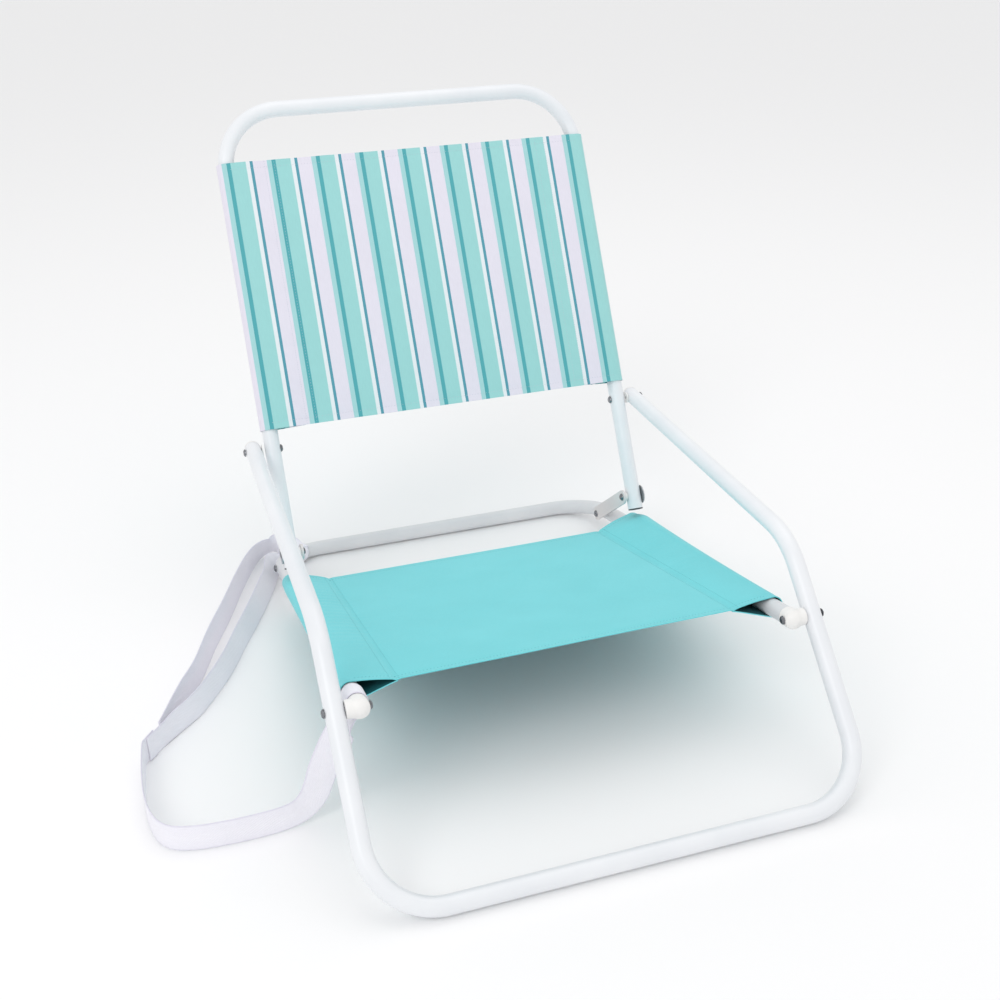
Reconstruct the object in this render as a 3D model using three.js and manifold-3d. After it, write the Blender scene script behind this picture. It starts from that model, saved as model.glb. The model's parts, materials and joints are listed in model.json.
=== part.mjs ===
// Low folding beach chair: a bent front-and-arm tube, a U-shaped seat tube, a back tube on two
// link plates, a plain seat cloth and a striped back cloth, and a carry strap on the left side.
// Millimetres. +X is the sitter's left when seen from the front (viewer's right), the chair
// faces -Y, +Z is up and the floor is Z = 0.
import * as THREE from 'three';
import { mergeVertices } from 'three/addons/utils/BufferGeometryUtils.js';
import Module from 'manifold-3d';

const wasm = await Module();
wasm.setup();

// ---------------------------------------------------------------- driving dimensions
const tubeDiameter = 19;
const tubeWall = 1.2;
const frontWidth = 497; // between the axes of the two arms
const sideGap = 4; // between an arm and the frames inside it
const armHeight = 203;
const floorBarReach = 400; // the floor bar lies this far forward of the chair's middle
const legAngle = 45;
const elbowRadius = 80;
const footRadius = 67;
const armPivotBack = 198; // the arm pivot lies this far behind the chair's middle
const armEndPastPivot = 9;
const kneeUpLeg = 189.5; // floor bar axis to seat pivot, along the leg
const rearBarBack = 283;
const seatCornerRadius = 62;
const linkPivotPastBend = 1.3; // along the seat rail, from the end of its bend
const plugLength = 9; // plug collar to seat pivot
const plugTipPastPivot = 14.5;
const backLean = 29.15; // degrees from upright
const backBelowArm = 127.8; // arm pivot down to the link pivot, along the back leg
const backAboveArm = 414.6; // arm pivot up to the top rail's axis
const backLegEnd = 17; // past the link pivot
const topRadius = 73;
const plateWidth = 18;
const plateThickness = 2.6;
const plateGap = 4; // link plate to tube, so that the folded plate clears the rail's bend
const linkSpacerDiameter = 11;
const discDiameter = 24;
const pinDiameter = 6;
const pinHeadDiameter = 9.6;
const pinHeadHeight = 2.4;
const clothThickness = 1.2;
const sleeveEase = 0.4; // between a tube and the cloth round it
const seatSeamInset = 45; // tube axis to sleeve seam
const seatClothFront = 526; // from the rear bar, along the rail
const seatClothRear = 143;
const seatFaceHeight = 4; // above the rails' axes: the cloth hangs between its sleeves
const backSeamInset = 42;
const backClothBottom = 23; // above the arm pivot, along the leg
const backClothBelowTopRail = 65.6; // from the top rail's axis
const strapWidth = 30;
const strapThickness = 1.5;
const strapFrontWidth = 24; // the strap is gathered where it goes round the rail
const strapJointLength = 28;
const strapJointThickness = 6;
const touchGap = 0.3;
const sides = 20; // facets round a tube

// ---------------------------------------------------------------- derived places
const tubeRadius = tubeDiameter / 2;
const innerRadius = tubeRadius - tubeWall;
const armX = frontWidth / 2;
const railX = armX - tubeDiameter - sideGap;
const degrees = THREE.MathUtils.degToRad;
const sideAxis = new THREE.Vector3(1, 0, 0);
const at = (x, y, z) => new THREE.Vector3(x, y, z);
const along = (start, direction, length) => start.clone().addScaledVector(direction, length);

const floorBar = at(0, -floorBarReach, tubeRadius);
const legUp = at(0, Math.cos(degrees(legAngle)), Math.sin(degrees(legAngle)));
const elbow = along(floorBar, legUp, (armHeight - tubeRadius) / legUp.z);
const seatPivot = along(floorBar, legUp, kneeUpLeg);
const armPivot = at(0, armPivotBack, armHeight);

const rearBar = at(0, rearBarBack, tubeRadius);
const railForward = seatPivot.clone().sub(rearBar).normalize();
const railNormal = at(0, railForward.z, -railForward.y);
const railLength = seatPivot.distanceTo(rearBar);
const linkPivot = along(rearBar, railForward, seatCornerRadius + linkPivotPastBend);

const backUp = at(0, Math.sin(degrees(backLean)), Math.cos(degrees(backLean)));
const backRear = at(0, backUp.z, -backUp.y);
const backPivot = along(armPivot, backUp, -backBelowArm);
const backTop = along(armPivot, backUp, backAboveArm);
const backClothTop = backAboveArm - backClothBelowTopRail;
const backFoot = along(backPivot, backUp, -backLegEnd);

// ---------------------------------------------------------------- shapes and solids
const looks = {
  powderCoat: { color: 0xe9eaec, roughness: 0.32, metalness: 0.0 },
  plugPlastic: { color: 0xf1efec, roughness: 0.5, metalness: 0.0 },
  darkPlastic: { color: 0x4a4d50, roughness: 0.6, metalness: 0.0 },
  rivetSteel: { color: 0x8e9194, roughness: 0.35, metalness: 0.9 },
  plateSteel: { color: 0xdcdad9, roughness: 0.45, metalness: 0.1 },
  seatCloth: { color: 0x74d2d6, roughness: 0.85, metalness: 0.0 },
  backCloth: { color: 0xb4dcdc, roughness: 0.85, metalness: 0.0 },
  webbing: { color: 0xece9f3, roughness: 0.8, metalness: 0.0 },
};

const chair = new THREE.Group();

function addPiece(name, geometry, look) {
  const material = new THREE.MeshStandardMaterial(looks[look]);
  const mesh = new THREE.Mesh(outward(geometry), material);
  mesh.name = name;
  chair.add(mesh);
  return mesh;
}

// Only positions, shared corners merged, faces turned outwards.
function outward(geometry) {
  const plain = geometry.clone();
  plain.deleteAttribute('normal');
  plain.deleteAttribute('uv');
  const merged = mergeVertices(plain, 1e-4);
  const p = merged.getAttribute('position');
  const index = merged.getIndex().array;
  const [a, b, c] = [new THREE.Vector3(), new THREE.Vector3(), new THREE.Vector3()];
  let volume = 0;
  for (let i = 0; i < index.length; i += 3) {
    a.fromBufferAttribute(p, index[i]);
    b.fromBufferAttribute(p, index[i + 1]);
    c.fromBufferAttribute(p, index[i + 2]);
    volume += a.dot(b.cross(c));
  }
  if (volume < 0) {
    for (let i = 0; i < index.length; i += 3) {
      [index[i], index[i + 1]] = [index[i + 1], index[i]];
    }
  }
  merged.computeVertexNormals();
  return merged;
}

function toManifold(geometry) {
  const merged = outward(geometry);
  return new wasm.Manifold(new wasm.Mesh({
    numProp: 3,
    vertProperties: new Float32Array(merged.getAttribute('position').array),
    triVerts: new Uint32Array(merged.getIndex().array),
  }));
}

function cut(geometry, cutters) {
  let body = toManifold(geometry);
  for (const cutter of cutters) {
    body = body.subtract(toManifold(cutter));
  }
  const mesh = body.getMesh();
  const result = new THREE.BufferGeometry();
  result.setAttribute('position', new THREE.BufferAttribute(mesh.vertProperties, 3));
  result.setIndex(new THREE.BufferAttribute(mesh.triVerts, 1));
  return result;
}

function circlePoints(radius, count, turn = 0.5) {
  const points = [];
  for (let i = 0; i < count; i += 1) {
    const angle = ((i + turn) / count) * Math.PI * 2;
    points.push(new THREE.Vector2(Math.cos(angle) * radius, Math.sin(angle) * radius));
  }
  return points;
}

function ringShape(outer, inner) {
  const shape = new THREE.Shape(circlePoints(outer, sides));
  if (inner > 0) {
    shape.holes.push(new THREE.Path(circlePoints(inner, sides).reverse()));
  }
  return shape;
}

// A path given by exact stations, so straight runs take one step and bends keep their radius.
class StationPath extends THREE.Curve {
  constructor(stations) {
    super();
    this.stations = stations;
  }

  station(u) {
    return this.stations[Math.round(u * (this.stations.length - 1))];
  }

  getPointAt(u) {
    return this.station(u).point.clone();
  }

  getTangentAt(u) {
    return this.station(u).tangent.clone();
  }

  computeFrenetFrames(segments, closed) {
    if (!this.stations[0].across) {
      return super.computeFrenetFrames(segments, closed);
    }
    const tangents = this.stations.map((s) => s.tangent.clone());
    const normals = this.stations.map((s) => s.across.clone());
    const binormals = tangents.map((t, i) => t.clone().cross(normals[i]).normalize());
    return { tangents, normals, binormals };
  }
}

// Stations along a line of corners, each corner rounded to its radius.
function bentStations(corners, radii, stepAngle = 10) {
  const stations = [];
  const first = corners[1].clone().sub(corners[0]).normalize();
  stations.push({ point: corners[0].clone(), tangent: first });
  for (let i = 1; i < corners.length - 1; i += 1) {
    const into = corners[i].clone().sub(corners[i - 1]).normalize();
    const out = corners[i + 1].clone().sub(corners[i]).normalize();
    const turn = into.angleTo(out);
    const trim = radii[i - 1] * Math.tan(turn / 2);
    const start = along(corners[i], into, -trim);
    const inward = out.clone().addScaledVector(into, -into.dot(out)).normalize();
    const centre = along(start, inward, radii[i - 1]);
    const count = Math.max(2, Math.ceil(THREE.MathUtils.radToDeg(turn) / stepAngle));
    for (let k = 0; k <= count; k += 1) {
      const angle = (turn * k) / count;
      const point = centre.clone()
        .addScaledVector(inward, -radii[i - 1] * Math.cos(angle))
        .addScaledVector(into, radii[i - 1] * Math.sin(angle));
      const tangent = into.clone().multiplyScalar(Math.cos(angle))
        .addScaledVector(inward, Math.sin(angle));
      stations.push({ point, tangent });
    }
  }
  const last = corners[corners.length - 1];
  stations.push({ point: last.clone(), tangent: last.clone().sub(corners.at(-2)).normalize() });
  return stations;
}

function sweep(shape, stations) {
  const path = new StationPath(stations);
  return new THREE.ExtrudeGeometry(shape, {
    steps: stations.length - 1,
    extrudePath: path,
    bevelEnabled: false,
    curveSegments: 1,
  });
}

function tube(corners, radii) {
  return sweep(ringShape(tubeRadius, innerRadius), bentStations(corners, radii));
}

// Turned piece along +X: profile points are [distance from the centre, radius].
function turned(profile, count = 16) {
  const points = profile.map(([x, radius]) => new THREE.Vector2(radius, x));
  const geometry = new THREE.LatheGeometry(points, count);
  geometry.rotateZ(-Math.PI / 2);
  return geometry;
}

function crossHole(x0, x1, radius, centre) {
  const geometry = turned([[x0, 0], [x0, radius], [x1, radius], [x1, 0]]);
  geometry.translate(centre.x, centre.y, centre.z);
  return geometry;
}

// Places a geometry built along +X on one side: side 1 is +X, side -1 its mirror image.
function toSide(geometry, side, centre) {
  if (side < 0) {
    geometry.rotateZ(Math.PI);
  }
  geometry.translate(0, centre.y, centre.z);
  return geometry;
}

function basis(origin, xAxis, yAxis, zAxis) {
  return new THREE.Matrix4().makeBasis(xAxis, yAxis, zAxis).setPosition(origin);
}

function prism(points, depth0, depth1, matrix) {
  const shape = new THREE.Shape(points.map(([x, y]) => new THREE.Vector2(x, y)));
  const geometry = new THREE.ExtrudeGeometry(shape, {
    depth: depth1 - depth0,
    bevelEnabled: false,
    curveSegments: 1,
  });
  geometry.translate(0, 0, depth0);
  geometry.applyMatrix4(matrix);
  return geometry;
}

const sideNames = [['left', -1], ['right', 1]];
const holeRadius = pinDiameter / 2 + touchGap;

// ---------------------------------------------------------------- front tube: arms, legs, bar
const armEnd = along(armPivot, at(0, 1, 0), armEndPastPivot);
const frontCorners = [
  at(-armX, armEnd.y, armEnd.z),
  at(-armX, elbow.y, elbow.z),
  at(-armX, floorBar.y, floorBar.z),
  at(armX, floorBar.y, floorBar.z),
  at(armX, elbow.y, elbow.z),
  at(armX, armEnd.y, armEnd.z),
];
const frontHoles = [];
for (const [, side] of sideNames) {
  for (const pivot of [armPivot, seatPivot]) {
    const middle = at(side * armX, pivot.y, pivot.z);
    frontHoles.push(crossHole(-tubeDiameter, tubeDiameter, holeRadius, middle));
  }
}
const frontRadii = [elbowRadius, footRadius, footRadius, elbowRadius];
addPiece('front_tube', cut(tube(frontCorners, frontRadii), frontHoles), 'powderCoat');

// ---------------------------------------------------------------- seat tube: rails, rear bar
const railEnd = along(seatPivot, railForward, -plugLength);
const seatCorners = [
  at(-railX, railEnd.y, railEnd.z),
  at(-railX, rearBar.y, rearBar.z),
  at(railX, rearBar.y, rearBar.z),
  at(railX, railEnd.y, railEnd.z),
];
const seatHoles = sideNames.map(([, side]) => {
  const middle = at(side * railX, linkPivot.y, linkPivot.z);
  return crossHole(-tubeDiameter, tubeDiameter, holeRadius, middle);
});
const seatRadii = [seatCornerRadius, seatCornerRadius];
addPiece('seat_tube', cut(tube(seatCorners, seatRadii), seatHoles), 'powderCoat');

// ---------------------------------------------------------------- back tube
const backCorners = [
  at(-railX, backFoot.y, backFoot.z),
  at(-railX, backTop.y, backTop.z),
  at(railX, backTop.y, backTop.z),
  at(railX, backFoot.y, backFoot.z),
];
const backHoles = sideNames.map(([, side]) => {
  const middle = at(side * railX, backPivot.y, backPivot.z);
  return crossHole(-tubeDiameter, tubeDiameter, holeRadius, middle);
});
addPiece('back_tube', cut(tube(backCorners, [topRadius, topRadius]), backHoles), 'powderCoat');

// ---------------------------------------------------------------- plastic ends
// Each end has a spigot inside its tube and a visible cap, turned about the tube's axis.
const spigotRadius = innerRadius * Math.cos(Math.PI / sides) - touchGap;

function endCap(spigot, rim, domeLength, radius) {
  const profile = [[-spigot, 0], [-spigot, spigotRadius], [touchGap, spigotRadius]];
  profile.push([touchGap, radius]);
  profile.push([rim, radius]);
  for (let i = 1; i <= 5; i += 1) {
    const angle = (i / 5) * Math.PI / 2;
    profile.push([rim + domeLength * Math.sin(angle), i === 5 ? 0 : radius * Math.cos(angle)]);
  }
  return turned(profile, sides);
}

function aim(geometry, start, direction) {
  const zAxis = sideAxis.clone().cross(direction).normalize();
  const yAxis = zAxis.clone().cross(direction).normalize();
  return geometry.applyMatrix4(basis(start, direction, yAxis, zAxis));
}

const plugRadius = tubeRadius + 0.8;
for (const [name, side] of sideNames) {
  const cap = endCap(armEndPastPivot - pinDiameter / 2 - 2 * touchGap, 2, 5.5, tubeRadius);
  const capStart = at(side * armX, armEnd.y, armEnd.z);
  addPiece(`arm_cap_${name}`, aim(cap, capStart, at(0, 1, 0)), 'plugPlastic');

  const plugDome = plugRadius;
  const plug = endCap(14, plugLength + plugTipPastPivot - plugDome, plugDome, plugRadius);
  aim(plug, at(side * railX, railEnd.y, railEnd.z), railForward);
  const pinHole = crossHole(-30, 30, holeRadius, at(side * railX, seatPivot.y, seatPivot.z));
  addPiece(`seat_plug_${name}`, cut(plug, [pinHole]), 'plugPlastic');

  const foot = endCap(backLegEnd - pinDiameter / 2 - 5, 1.6, 0.8, tubeRadius);
  const footStart = at(side * railX, backFoot.y, backFoot.z);
  aim(foot, footStart, backUp.clone().negate());
  addPiece(`leg_cap_${name}`, foot, 'darkPlastic');
}

// ---------------------------------------------------------------- pivot pins and spacers
// Profiles run from the middle of the chair outwards, so the outer head comes last.
function pinProfile(innerFace, outerFace, innerHead = pinHeadDiameter, outerHead = innerHead) {
  const shank = pinDiameter / 2;
  const inside = innerFace - touchGap;
  const outside = outerFace + touchGap;
  return [
    [inside - pinHeadHeight, 0],
    [inside - pinHeadHeight, innerHead * 0.28],
    [inside - pinHeadHeight * 0.55, innerHead * 0.44],
    [inside, innerHead / 2],
    [inside, shank],
    [outside, shank],
    [outside, outerHead / 2],
    [outside + pinHeadHeight * 0.55, outerHead * 0.44],
    [outside + pinHeadHeight, outerHead * 0.28],
    [outside + pinHeadHeight, 0],
  ];
}

function washer(x0, x1, inner, outer) {
  return turned([[x0, inner], [x0, outer], [x1, outer], [x1, inner], [x0, inner]]);
}

const railInner = railX - tubeRadius;
const railOuter = railX + tubeRadius;
const armInner = armX - tubeRadius;
const armOuter = armX + tubeRadius;
const plateInner = railInner - plateGap - plateThickness;
const washerHole = pinDiameter / 2 + touchGap;

for (const [name, side] of sideNames) {
  // Seat pivot: one pin through the leg and the plug, a moulded spacer between them.
  const plugInner = railX - plugRadius;
  const seatPin = turned(pinProfile(plugInner, armOuter));
  addPiece(`seat_pin_${name}`, toSide(seatPin, side, seatPivot), 'rivetSteel');
  const spacerInner = railX + plugRadius + touchGap;
  const spacer = washer(spacerInner, armInner - touchGap, washerHole, 8);
  addPiece(`seat_spacer_${name}`, toSide(spacer, side, seatPivot), 'plugPlastic');

  // Moulded spacers that keep the link plate off the rail and off the back leg.
  const spacerSpan = [railInner - plateGap + touchGap, railInner - touchGap];
  const linkSpacer = () => washer(...spacerSpan, washerHole, linkSpacerDiameter / 2);
  addPiece(`link_spacer_${name}`, toSide(linkSpacer(), side, linkPivot), 'plugPlastic');
  addPiece(`back_spacer_${name}`, toSide(linkSpacer(), side, backPivot), 'plugPlastic');

  // Link pivot on the seat rail: pin through the rail and the link plate.
  const linkPin = turned(pinProfile(plateInner, railOuter));
  addPiece(`link_pin_${name}`, toSide(linkPin, side, linkPivot), 'rivetSteel');

  // Link pivot on the back leg: pin through the plate, the leg and a broad disc.
  const discOuter = railOuter + touchGap + 1.2;
  const discPin = pinProfile(plateInner, discOuter);
  const shortHead = discPin.map(([x, r]) => [Math.min(x, discOuter + touchGap + 0.9), r]);
  shortHead.splice(7, 1);
  addPiece(`back_pin_${name}`, toSide(turned(shortHead), side, backPivot), 'rivetSteel');
  const disc = washer(railOuter + touchGap, discOuter, washerHole, discDiameter / 2);
  addPiece(`back_disc_${name}`, toSide(disc, side, backPivot), 'plateSteel');

  // Arm pivot: the arm's half and the leg's half stay apart, so the pivot can open.
  const armPin = pinProfile(armInner, armOuter).slice(5);
  armPin.unshift([armInner + touchGap, 0], [armInner + touchGap, pinDiameter / 2]);
  addPiece(`arm_pin_${name}`, toSide(turned(armPin), side, armPivot), 'rivetSteel');
  const armWasher = washer(armInner - 1.5, armInner - touchGap, 2, 7);
  addPiece(`arm_washer_${name}`, toSide(armWasher, side, armPivot), 'plugPlastic');
  const legStud = pinProfile(railInner, railOuter).slice(0, 4);
  legStud.push([railInner - touchGap, 0]);
  addPiece(`leg_stud_${name}`, toSide(turned(legStud), side, armPivot), 'rivetSteel');
}

// ---------------------------------------------------------------- link plates
const linkDirection = backPivot.clone().sub(linkPivot).normalize();
const linkLength = backPivot.distanceTo(linkPivot);
const linkAcross = at(0, -linkDirection.z, linkDirection.y);

function platePoints() {
  const points = [];
  const radius = plateWidth / 2;
  for (let i = 0; i <= 10; i += 1) {
    const angle = Math.PI / 2 + (Math.PI * i) / 10;
    points.push([radius * Math.cos(angle), radius * Math.sin(angle)]);
  }
  for (let i = 0; i <= 10; i += 1) {
    const angle = -Math.PI / 2 + (Math.PI * i) / 10;
    points.push([linkLength + radius * Math.cos(angle), radius * Math.sin(angle)]);
  }
  return points;
}

for (const [name, side] of sideNames) {
  const inner = side * plateInner;
  const outer = side * (plateInner + plateThickness);
  const [x0, x1] = [Math.min(inner, outer), Math.max(inner, outer)];
  const place = basis(linkPivot, linkDirection, linkAcross, sideAxis);
  const plate = prism(platePoints(), x0, x1, place);
  const holes = [linkPivot, backPivot].map((pivot) => (
    crossHole(x0 - 1, x1 + 1, holeRadius, at(0, pivot.y, pivot.z))
  ));
  addPiece(`link_plate_${name}`, cut(plate, holes), 'plateSteel');
}

// ---------------------------------------------------------------- cloths
// Section of a cloth sleeved over two tubes: a flat face on the +Y side of the section and,
// at each edge, a loop round the tube that is sewn back to the face at the seam.
const sleeveInner = tubeRadius + sleeveEase;
const sleeveOuter = sleeveInner + clothThickness;

// The arc of a loop, between the places where the cloth from the seam's two edges meets it.
function loopPoints(radius, seamTop, seamBottom) {
  const [start, end] = [[seamTop, -1], [seamBottom, 1]].map(([[x, y], turn]) => (
    Math.atan2(y, x - railX) + turn * Math.acos(radius / Math.hypot(x - railX, y))
  ));
  const sweep = end - Math.PI * 2 - start;
  const count = Math.ceil(-sweep / degrees(19));
  const points = [];
  for (let i = 0; i <= count; i += 1) {
    const angle = start + (sweep * i) / count;
    points.push([railX + radius * Math.cos(angle), radius * Math.sin(angle)]);
  }
  return points;
}

function clothSection(seamInset, faceHeight) {
  const seamX = railX - seamInset;
  const seamTop = [seamX, faceHeight];
  const seamBottom = [seamX - 2, faceHeight - clothThickness];
  const half = [seamTop, ...loopPoints(sleeveOuter, seamTop, seamBottom), seamBottom];
  const mirrored = half.map(([x, y]) => [-x, y]).reverse();
  const outline = [...half, ...mirrored].reverse();
  const shape = new THREE.Shape(outline.map(([x, y]) => new THREE.Vector2(x, y)));
  const innerSeam = [seamX + 4, faceHeight - clothThickness - 0.01];
  const inside = [...loopPoints(sleeveInner, innerSeam, innerSeam), innerSeam];
  for (const side of [1, -1]) {
    const hole = inside.map(([x, y]) => new THREE.Vector2(side * x, y));
    shape.holes.push(new THREE.Path(hole));
  }
  return shape;
}

function extrudeSection(shape, start, end, matrix) {
  const geometry = new THREE.ExtrudeGeometry(shape, {
    depth: end - start,
    bevelEnabled: false,
    curveSegments: 1,
  });
  geometry.translate(0, 0, start);
  return geometry.applyMatrix4(matrix);
}

const seatPlace = basis(rearBar, sideAxis, railNormal, railForward);
addPiece(
  'seat_cloth',
  extrudeSection(
    clothSection(seatSeamInset, seatFaceHeight), seatClothRear, seatClothFront, seatPlace,
  ),
  'seatCloth',
);

const backPlace = basis(
  armPivot, sideAxis.clone().negate(), backRear.clone().negate(), backUp,
);
addPiece(
  'back_cloth',
  extrudeSection(
    clothSection(backSeamInset, sleeveOuter), backClothBottom, backClothTop, backPlace,
  ),
  'backCloth',
);

// ---------------------------------------------------------------- carry strap
// One webbing that stands on its edge on the floor: from a ring round the left rail, along the
// floor to a sewn joint, and from there in a loop round the left bend of the seat tube. Each
// route point is the middle of the webbing, and then the direction of its upper edge. Points
// are counted in X and Y from the middle of the wrap round the bend, and those of risingRun
// from the ring on the rail; Z is the height above the floor.
const strapFloor = strapWidth / 2 + touchGap;
const outerBand = [
  [-189.8, -315.5, strapFloor, -0.1, 0.05, 1],
  [-179.8, -291.5, strapFloor, -0.1, 0.05, 1],
  [-166.8, -263.5, strapFloor, -0.12, 0.05, 1],
  [-148.8, -228.5, strapFloor, -0.15, 0.07, 1],
  [-125.8, -166.5, strapFloor, -0.18, 0.08, 1],
  [-101.8, -109.5, strapFloor, -0.18, 0.08, 1],
  [-78.8, -49.5, strapFloor, -0.15, 0.05, 1],
  [-58.8, -3.5, strapFloor, -0.1, 0, 1],
  [-42.8, 22.5, strapFloor, 0, -0.15, 1],
  [-23.8, 34.5, 16, 0.08, -0.4, 0.92],
  [-7.8, 22.5, 20, 0.66, 0.1, 0.72],
];
const innerBand = [
  [-15.8, 0.5, 8.2, 0.3, 0.9, 0.12],
  [-27.8, -9.5, 12.4, -0.25, 0.7, 0.65],
  [-33.8, -27.5, 14.2, -0.42, 0.35, 0.85],
  [-38.8, -47.5, 14.6, -0.39, 0.18, 0.9],
  [-48.8, -73.5, 14.6, -0.39, 0.18, 0.9],
  [-70.8, -126.5, 14.8, -0.35, 0.17, 0.92],
  [-91.8, -172.5, 15, -0.3, 0.15, 0.94],
  [-112.8, -220.5, 15.1, -0.25, 0.12, 0.96],
  [-133.8, -259.5, strapFloor, -0.2, 0.1, 0.97],
  [-157.8, -295.5, strapFloor, -0.15, 0.1, 0.98],
  [-180.8, -319.5, strapFloor, -0.1, 0.05, 1],
];
const jointHeading = at(-0.62, -0.7846, 0).normalize();
const floorRun = [
  [-218.8, -364.5, strapFloor, 0, 0, 1],
  [-220.8, -380.5, strapFloor, 0, 0, 1],
  [-223.3, -418.5, strapFloor, 0, 0, 1],
  [-222.8, -454.5, strapFloor, 0, 0, 1],
  [-216.8, -484.5, strapFloor, 0, 0, 1],
  [-203.8, -502.5, strapFloor, 0, 0, 1],
  [-181.8, -510.5, strapFloor, 0, 0, 1],
  [-151.8, -513.5, strapFloor, 0, 0, 1],
  [-120.8, -513.5, strapFloor, 0, 0, 1],
];
const risingRun = [
  [-76.5, 0.3, 15.8, -0.06, 0, 1],
  [-59.5, 2.8, 19.5, -0.32, 0, 0.95],
  [-47.5, 4.8, 30, -0.75, 0, 0.66],
  [-40.5, 5.3, 45, -0.95, 0, 0.3],
  [-35, 4.3, 62, -0.97, 0.1, 0.25],
  [-27.5, 2.3, 81, -0.95, 0.15, 0.25],
  [-18.5, 0.3, 99, -0.85, 0.45, 0.25],
];

// Points where the webbing goes round the bend of the seat tube. The angle round the tube is
// 0 on top and 90 on the inner side; turnAlong is the place along the bend, in degrees.
const bendMiddle = along(at(-railX + seatCornerRadius, 0, 0).add(rearBar), railForward,
  seatCornerRadius);

const wrapTopTurn = 52;
const wrapShift = 11;
const wrapSlack = 2.6; // on the inside of the bend

function bendOutward(turnAlong) {
  const [sin, cos] = [Math.sin(degrees(turnAlong)), Math.cos(degrees(turnAlong))];
  return at(-cos, -railForward.y * sin, -railForward.z * sin);
}

function wrapPoint(turnAlong, angle) {
  const [sin, cos] = [Math.sin(degrees(turnAlong)), Math.cos(degrees(turnAlong))];
  const outward = bendOutward(turnAlong);
  const tangent = at(sin, -railForward.y * cos, -railForward.z * cos);
  const inside = Math.max(0, Math.sin(degrees(angle)));
  const slack = sleeveEase + strapThickness / 2 + wrapSlack * inside;
  const point = along(bendMiddle, outward, seatCornerRadius)
    .addScaledVector(railNormal, Math.cos(degrees(angle)) * (tubeRadius + slack))
    .addScaledVector(outward, -Math.sin(degrees(angle)) * (tubeRadius + slack));
  return [...point.toArray(), ...tangent.toArray()];
}

const wrap = [0, 36, 72, 108, 144, 180].map((angle) => (
  wrapPoint(wrapTopTurn - (wrapShift * angle) / 180, angle)
));

const wrapMiddle = along(bendMiddle, bendOutward(wrapTopTurn - wrapShift / 2), seatCornerRadius);
const beside = (anchor, rows) => (
  rows.map(([x, y, z, ...edge]) => [anchor.x + x, anchor.y + y, z, ...edge])
);
const jointStart = at(wrapMiddle.x - 199.1, wrapMiddle.y - 337.6, strapFloor);

// Stations along a webbing's route: the points and the edge directions are each one smooth curve.
function ribbonStations(route, perSpan) {
  const middle = new THREE.CatmullRomCurve3(route.map(([x, y, z]) => at(x, y, z)));
  const edge = new THREE.CatmullRomCurve3(route.map((row) => at(row[3], row[4], row[5])));
  const count = (route.length - 1) * perSpan;
  const stations = [];
  for (let i = 0; i <= count; i += 1) {
    const tangent = middle.getTangent(i / count);
    const across = edge.getPoint(i / count);
    across.addScaledVector(tangent, -across.dot(tangent)).normalize();
    stations.push({ point: middle.getPoint(i / count), tangent, across });
  }
  return stations;
}

function ribbon(width, thickness, stations) {
  const [w, t] = [width / 2, thickness / 2];
  const corners = [[-w, -t], [w, -t], [w, t], [-w, t]];
  return sweep(new THREE.Shape(corners.map(([x, y]) => new THREE.Vector2(x, y))), stations);
}

const jointSide = at(jointHeading.y, -jointHeading.x, 0);
const jointEnd = along(jointStart, jointHeading, strapJointLength);
const upright = [0, 0, 1];
const bandOffset = strapJointThickness / 2 - strapThickness / 2 - touchGap;
const beforeJoint = along(jointStart, jointHeading, -touchGap);
const outerEnd = along(beforeJoint, jointSide, bandOffset);
const innerEnd = along(beforeJoint, jointSide, -bandOffset);
const loopRoute = [
  [...outerEnd.toArray(), ...upright],
  ...beside(wrapMiddle, outerBand),
  ...wrap,
  ...beside(wrapMiddle, innerBand),
  [...innerEnd.toArray(), ...upright],
];
addPiece('strap_loop', ribbon(strapWidth, strapThickness, ribbonStations(loopRoute, 2)), 'webbing');
addPiece('strap_joint', ribbon(strapWidth, strapJointThickness, [
  { point: jointStart, tangent: jointHeading, across: at(...upright) },
  { point: jointEnd, tangent: jointHeading, across: at(...upright) },
]), 'webbing');

const ringFrontEnd = railLength - plugLength - touchGap;
const ringMiddle = along(at(-railX, rearBar.y, rearBar.z), railForward,
  ringFrontEnd - strapFrontWidth / 2);
const ringOuter = tubeRadius + touchGap + strapThickness;
const hang = at(-0.5, 0, 0).addScaledVector(railNormal, -Math.sqrt(0.75));
const runEnd = along(ringMiddle, hang, ringOuter + touchGap);
const runRoute = [
  [...along(jointEnd, jointHeading, touchGap).toArray(), ...upright],
  ...beside(wrapMiddle, floorRun),
  ...beside(ringMiddle, risingRun),
  [...along(runEnd, hang, 14).toArray(), -0.45, 0.85, -0.1],
  [...runEnd.toArray(), 0, -railForward.y, -railForward.z],
];
addPiece('strap_run', ribbon(strapWidth, strapThickness, ribbonStations(runRoute, 2)), 'webbing');

const frontRing = washer(-strapFrontWidth / 2, strapFrontWidth / 2, tubeRadius + touchGap, ringOuter);
addPiece('strap_front_ring', aim(frontRing, ringMiddle, railForward), 'webbing');

// ---------------------------------------------------------------- origin
// The origin is on the floor, under the middle of the chair's own box, the strap left out.
const chairBox = new THREE.Box3();
for (const piece of chair.children) {
  if (!piece.name.startsWith('strap_')) {
    chairBox.expandByObject(piece);
  }
}
const middleOfBox = chairBox.getCenter(new THREE.Vector3());
chair.position.set(-middleOfBox.x, -middleOfBox.y, -chairBox.min.z);
chair.updateMatrixWorld(true);

export default chair;
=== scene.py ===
# A low folding beach chair: white tube frame, aqua seat cloth, striped back cloth and carry strap.
import json
import math
import bpy
from mathutils import Matrix, Vector, noise


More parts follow.
